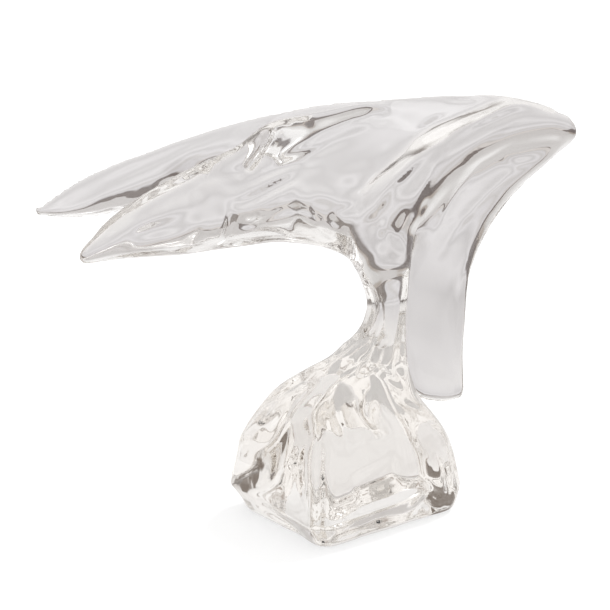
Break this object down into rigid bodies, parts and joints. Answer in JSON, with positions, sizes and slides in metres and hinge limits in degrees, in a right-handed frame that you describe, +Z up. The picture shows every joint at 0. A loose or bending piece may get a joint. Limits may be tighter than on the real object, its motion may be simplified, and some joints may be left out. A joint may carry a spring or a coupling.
{
  "type": "crystal bird sculpture",
  "caption": "Free-form clear crystal bird with swept wings, on a waisted stem rising from a block worked like rock; stands on its flat underside.",
  "frame": {"origin": "centre of the flat underside, the face it stands on", "axes": "+X along the bird from its wing tips to its beak, +Y towards the raised far wing, +Z up"},
  "size_m": [0.3327, 0.2172, 0.2396],
  "materials": {
    "crystal": "clear, fire-polished, with a ground flat underside"
  },
  "bodies": {
    "root": {"crystal_bird": "crystal"}
  },
  "joints": []
}
